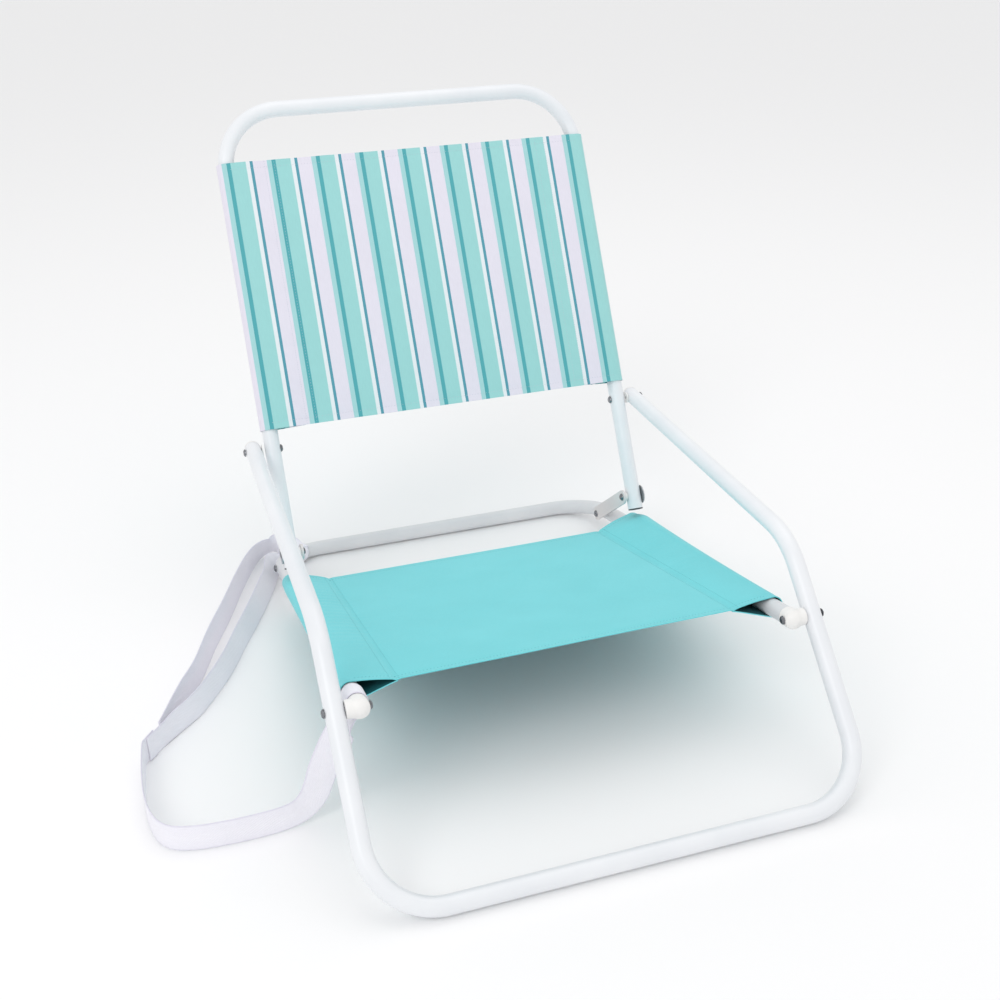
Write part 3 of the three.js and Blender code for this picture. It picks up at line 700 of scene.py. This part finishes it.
def buildCloth(name, base, along, normal, start, end, seam, shapes, finishes, body, node):
    # Rows of points along the tubes: each row runs over the whole girth.
    heightAt, puffAt, wrinkleAt = shapes
    rows = max(8, round((end - start) / cloth["rowPitch"]))
    half = railX - seam
    panelSteps = cloth["panelSteps"]
    grid, girth = [], []
    for i in range(rows + 1):
        s = start + (end - start) * i / rows
        left = clothSection(-1, s, heightAt(-half, s), puffAt(-1, s), seam)
        right = clothSection(1, s, heightAt(half, s), puffAt(1, s), seam)
        line = [Vector((-railX - p.x, p.y)) for p in reversed(left)]
        middle = len(line)
        for k in range(1, panelSteps):
            x = -half + 2 * half * k / panelSteps
            line.append(Vector((x, heightAt(x, s))))
        line += [Vector((railX + p.x, p.y)) for p in right]
        reach = [0.0]
        for k in range(1, len(line)):
            reach.append(reach[-1] + (line[k] - line[k - 1]).length)
        zero = reach[middle] - line[middle].x
        reach = [value - zero for value in reach]
        row = []
        for p in line:
            lift = wrinkleAt(p.x, s)
            row.append(base + sideAxis * p.x + along * s + normal * (p.y + lift))
        grid.append(row)
        girth.append(reach)
    columns = len(grid[0])
    points = [p for row in grid for p in row]
    uvs = [
        (girth[i][k], start + (end - start) * i / rows)
        for i in range(rows + 1) for k in range(columns)
    ]
    faces = [
        (i * columns + k, i * columns + k + 1, (i + 1) * columns + k + 1, (i + 1) * columns + k)
        for i in range(rows) for k in range(columns - 1)
    ]
    if sideAxis.cross(along).dot(normal) < 0:
        faces = [face[::-1] for face in faces]  # the outer side faces out
    piece = meshPiece(name, points, faces, uvs)
    makeActive(piece)
    shell = piece.modifiers.new("wall", "SOLIDIFY")
    shell.material_offset = len(finishes) - 1
    shell.thickness = cloth["thickness"]
    shell.offset = 0
    shell.use_even_offset = True
    for finish in finishes:
        piece.data.materials.append(finish)
    bpy.ops.object.modifier_apply(modifier="wall")
    bpy.ops.object.shade_smooth_by_angle(angle=math.radians(60))
    # The inner shell takes the second finish: on the seat cloth that is the underside darkened as painted
    # shade.
    inside = [polygon.index for polygon in piece.data.polygons if polygon.material_index]
    settle(piece, name, body, finishes[0], (node,))
    for finish in finishes[1:]:
        piece.data.materials.append(finish)
    for index in inside:
        piece.data.polygons[index].material_index = 1
    flatWidth = girth[0][-1] - girth[0][0]

    def surfaceAt(u, s):
        t = (s - start) / (end - start) * rows
        i = min(rows - 1, max(0, int(t)))
        k = min(range(columns), key=lambda index: abs(girth[i][index] - u))
        k = min(columns - 2, max(1, k))
        if girth[i][k] > u:
            k -= 1
        share = (u - girth[i][k]) / max(1e-9, girth[i][k + 1] - girth[i][k])
        low = grid[i][k].lerp(grid[i][k + 1], share)
        high = grid[i + 1][k].lerp(grid[i + 1][k + 1], share)
        place = low.lerp(high, t - i)
        across = (grid[i][k + 1] - grid[i][k]).normalized()
        lengthwise = (grid[i + 1][k] - grid[i][k]).normalized()
        up = across.cross(lengthwise).normalized()
        if up.dot(normal) < 0:
            up = -up
        return place, up

    return piece, flatWidth, surfaceAt


def seatWrinkle(x, s):
    # Pulled folds between the left rail and its seam, a soft drift, the hems and the seam grooves.
    fromRail = railX - abs(x)
    near = smoothStep(fromRail, -4 * mm, 12 * mm) * (1 - smoothStep(fromRail, 34 * mm, 66 * mm))
    side = 1.0 if x < 0 else 0.22
    fade = smoothStep(cloth["seatFront"] - s, 60 * mm, 190 * mm)
    drift = noise.noise(Vector((x * 14, s * 10, 1.7)))
    wave = math.sin(2 * math.pi * s / (12.6 * mm) + 3.5 * drift + x * 40)
    strength = 0.45 + 0.55 * noise.noise(Vector((x * 18, s * 30, 4.1)))
    soft = 0.35 * noise.noise(Vector((x * 7, s * 8, 7.7)))
    fromSeam = abs(abs(x) - (railX - cloth["seatSeam"]))
    groove = 0.8 * max(0.0, 1 - fromSeam / (3.5 * mm))
    hemReach = min(cloth["seatFront"] - s, s - cloth["seatRear"])
    hemLine = max(0.0, 1 - abs(hemReach - cloth["hem"]) / cloth["hemWidth"])
    return (0.85 * near * side * fade * wave * strength + soft - 0.35 * hemLine - groove) * mm


def backWrinkle(x, s):
    hemReach = min(cloth["backTop"] - s, s - cloth["backBottom"])
    hemLine = max(0.0, 1 - abs(hemReach - cloth["hem"]) / cloth["hemWidth"])
    pucker = max(0.0, 1 - hemReach / (16 * mm)) * noise.noise(Vector((x * 70, s * 30, 2.2)))
    seamNear = max(0.0, 1 - abs(abs(x) - (railX - 46 * mm)) / (14 * mm))
    seamWave = seamNear * noise.noise(Vector((x * 20, s * 70, 5.0)))
    soft = 0.45 * noise.noise(Vector((x * 7, s * 9, 3.3)))
    fold = max(0.0, 1 - abs(s - 110 * mm + 0.05 * x) / (4 * mm))
    crease = -0.5 * fold * smoothStep(-x, 120 * mm, 170 * mm)
    return (soft + 0.8 * pucker + 0.7 * seamWave - 0.5 * hemLine + crease) * mm


seatCloth, seatFlat, seatSurface = buildCloth(
    "seatCloth", rearBar, railForward, railUp, cloth["seatRear"], cloth["seatFront"],
    cloth["seatSeam"], (seatPanelHeight, seatPuff, seatWrinkle), (seatCanvas, seatShadedUnderside),
    "seat", "seat_cloth",
)
backCloth, backFlat, backSurface = buildCloth(
    "backCloth", armPivot, backUp, backFront, cloth["backBottom"], cloth["backTop"],
    cloth["backSeam"], (backPanelHeight, backPuff, backWrinkle), (stripedCanvas,),
    "back", "back_cloth",
)
print("cloths made", round(seatFlat, 3), round(backFlat, 3))


# ------ stitches
def stitchPiece(name, surface, lines, pitch, stitchLength, width, finish, body):
    # Each stitch is a short flat diamond that lies on the cloth.
    points, faces = [], []
    for fromPoint, toPoint in lines:
        length = math.dist(fromPoint, toPoint)
        count = max(1, round(length / pitch))
        du, ds = (toPoint[0] - fromPoint[0]) / length, (toPoint[1] - fromPoint[1]) / length
        for n in range(count):
            t = (n + 0.5) / count * length
            early, late = t - stitchLength / 2, t + stitchLength / 2
            a, up = surface(fromPoint[0] + du * early, fromPoint[1] + ds * early)
            b, up = surface(fromPoint[0] + du * late, fromPoint[1] + ds * late)
            heading = (b - a).normalized()
            across = heading.cross(up).normalized() * width / 2
            lift = up * (cloth["thickness"] / 2)
            top = (a + b) / 2 + lift + up * 0.35 * mm
            a, b = a + lift * 0.8, b + lift * 0.8
            first = len(points)
            points += [a, (a + b) / 2 + across, b, (a + b) / 2 - across, top, (a + b) / 2 - up * 0.2 * mm]
            ring = [first, first + 1, first + 2, first + 3]
            for k in range(4):
                faces.append((ring[k], ring[(k + 1) % 4], first + 4))
                faces.append((ring[(k + 1) % 4], ring[k], first + 5))
    piece = meshPiece(name, points, faces)
    makeActive(piece)
    bpy.ops.object.mode_set(mode="EDIT")
    bpy.ops.mesh.select_all(action="SELECT")
    bpy.ops.mesh.normals_make_consistent(inside=False)
    bpy.ops.object.mode_set(mode="OBJECT")
    settle(piece, name, body, finish, ())
    return piece


seatSeamX = railX - cloth["seatSeam"]
rear, front, hem = cloth["seatRear"], cloth["seatFront"], cloth["hem"]
seatLines = []
for side in (-1, 1):
    for inset in (-3 * mm, 6 * mm):
        x = side * (seatSeamX + inset)
        seatLines.append(((x, rear + 1 * mm), (x, front - 1 * mm)))
for s in (rear + hem, front - hem):
    seatLines.append(((-railX + 4 * mm, s), (railX - 4 * mm, s)))
seatStitches = stitchPiece(
    "seatStitches", seatSurface, seatLines, 3.6 * mm, 2.5 * mm, 0.8 * mm, aquaThread,
    "seat",
)
bottom, top = cloth["backBottom"], cloth["backTop"]
backSeamX = railX - cloth["backSeam"]
backLines = []
for side in (-1, 1):
    x = side * (backSeamX - 15 * mm)
    backLines.append(((x, bottom + 1 * mm), (x, top - 1 * mm)))
    zigzagX = side * (backSeamX - 3 * mm)
    rowsOfZigzag = round((top - bottom) / (3 * mm))
    for n in range(rowsOfZigzag):
        s = bottom + (top - bottom) * n / rowsOfZigzag
        shift = 1.6 * mm if n % 2 else -1.6 * mm
        backLines.append(((zigzagX - shift, s), (zigzagX + shift, s + 3 * mm)))
for s in (bottom + hem, top - hem):
    backLines.append(((-railX + 2 * mm, s), (railX - 2 * mm, s)))
backStitches = stitchPiece(
    "backStitches", backSurface, backLines, 3.6 * mm, 2.6 * mm, 0.7 * mm, paleThread,
    "back",
)
print("stitches sewn")

# ------ plugs: a round-ended cap on each rail, with a boss that reaches the leg
plug = {
    "radius": 10.3 * mm,
    "ballExtra": 0.4 * mm,
    "reachPast": 6 * mm,
    "bossRadius": 9.3 * mm,
    "legGap": 0.4 * mm,
    "voxel": 0.8 * mm,
}


def plugPiece(sideName, side):
    deselectAll()
    centre = seatPivot + sideAxis * side * railX
    collar = centre - railForward * chair["plugLength"]
    legSide = side * (armX - tubeRadius - plug["legGap"])
    capLength = chair["plugLength"] + plug["reachPast"]
    bpy.ops.mesh.primitive_uv_sphere_add(
        segments=32, ring_count=20, radius=plug["radius"] + plug["ballExtra"], location=centre,
    )
    parts = [bpy.context.object]
    bpy.ops.mesh.primitive_cylinder_add(
        vertices=40, radius=plug["radius"], depth=capLength,
        location=collar + railForward * capLength / 2,
        rotation=railForward.to_track_quat("Z", "Y").to_euler(),
    )
    parts.append(bpy.context.object)
    reach = abs(legSide - centre.x)
    bpy.ops.mesh.primitive_cylinder_add(
        vertices=40, radius=plug["bossRadius"], depth=reach,
        location=((centre.x + legSide) / 2, centre.y, centre.z),
        rotation=sideAxis.to_track_quat("Z", "Y").to_euler(),
    )
    parts.append(bpy.context.object)
    deselectAll()
    for part in parts:
        part.select_set(True)
    bpy.context.view_layer.objects.active = parts[0]
    bpy.ops.object.join()
    piece = bpy.context.object
    melt = piece.modifiers.new("melt", "REMESH")
    melt.mode = "VOXEL"
    melt.voxel_size = plug["voxel"]
    bpy.ops.object.modifier_apply(modifier="melt")
    soften = piece.modifiers.new("soften", "SMOOTH")
    soften.iterations = 5
    soften.factor = 0.5
    bpy.ops.object.modifier_apply(modifier="soften")
    bpy.ops.object.shade_smooth()
    nodes = (f"seat_plug_{sideName}", f"seat_spacer_{sideName}")
    settle(piece, f"seatPlug_{sideName}", "seat", whitePlastic, nodes)


plugPiece("left", -1)
plugPiece("right", 1)
print("plugs moulded")

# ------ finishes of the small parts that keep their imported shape
slotFinish = {
    "powder_coat": powderCoat, "white_plastic": whitePlastic, "dark_plastic": darkPlastic,
    "rivet_steel": rivetSteel, "plate_steel": plateSteel, "webbing": webbing,
    "seat_canvas": seatCanvas, "striped_canvas": stripedCanvas,
}
slotOf = {row["node"]: row["material_slot"] for row in frame["record"]["subparts"]}
for nodeName, node in frame["nodes"].items():
    finish = discSteel if nodeName.startswith("back_disc") else slotFinish[slotOf[nodeName]]
    node.data.materials.clear()
    node.data.materials.append(finish)

# ------ floor, light
deselectAll()
bpy.ops.mesh.primitive_plane_add(size=60, location=(0, 0, -0.0006))
floor = bpy.context.object
floor.name = "studioFloor"
floorFinish, _, floorShader = newFinish("floorFinish", 0.9)
floorShader.inputs["Base Color"].default_value = (0.94, 0.94, 0.945, 1)
floorShader.inputs["Specular IOR Level"].default_value = 0.1
floor.data.materials.append(floorFinish)

studio = {
    "worldStrength": 0.88,
    "lamps": [
        ("keyLamp", (-1.9, -1.7, 2.3), 1.6, 17),
        ("topLamp", (0.5, 0.3, 2.6), 1.8, 8),
    ],
}
world = bpy.data.worlds.new("studioWorld")
world.use_nodes = True
world.node_tree.nodes["Background"].inputs[0].default_value = (1, 1, 1, 1)
world.node_tree.nodes["Background"].inputs[1].default_value = studio["worldStrength"]
bpy.context.scene.world = world
for lampName, place, size, power in studio["lamps"]:
    lampData = bpy.data.lights.new(lampName, "AREA")
    lampData.size = size
    lampData.energy = power
    lamp = bpy.data.objects.new(lampName, lampData)
    bpy.context.scene.collection.objects.link(lamp)
    lamp.location = place
    lamp.rotation_euler = (Vector((0, -0.05, 0.2)) - Vector(place)).to_track_quat("-Z", "Y").to_euler()
bpy.context.scene.view_settings.view_transform = "Standard"
print("studio lit")
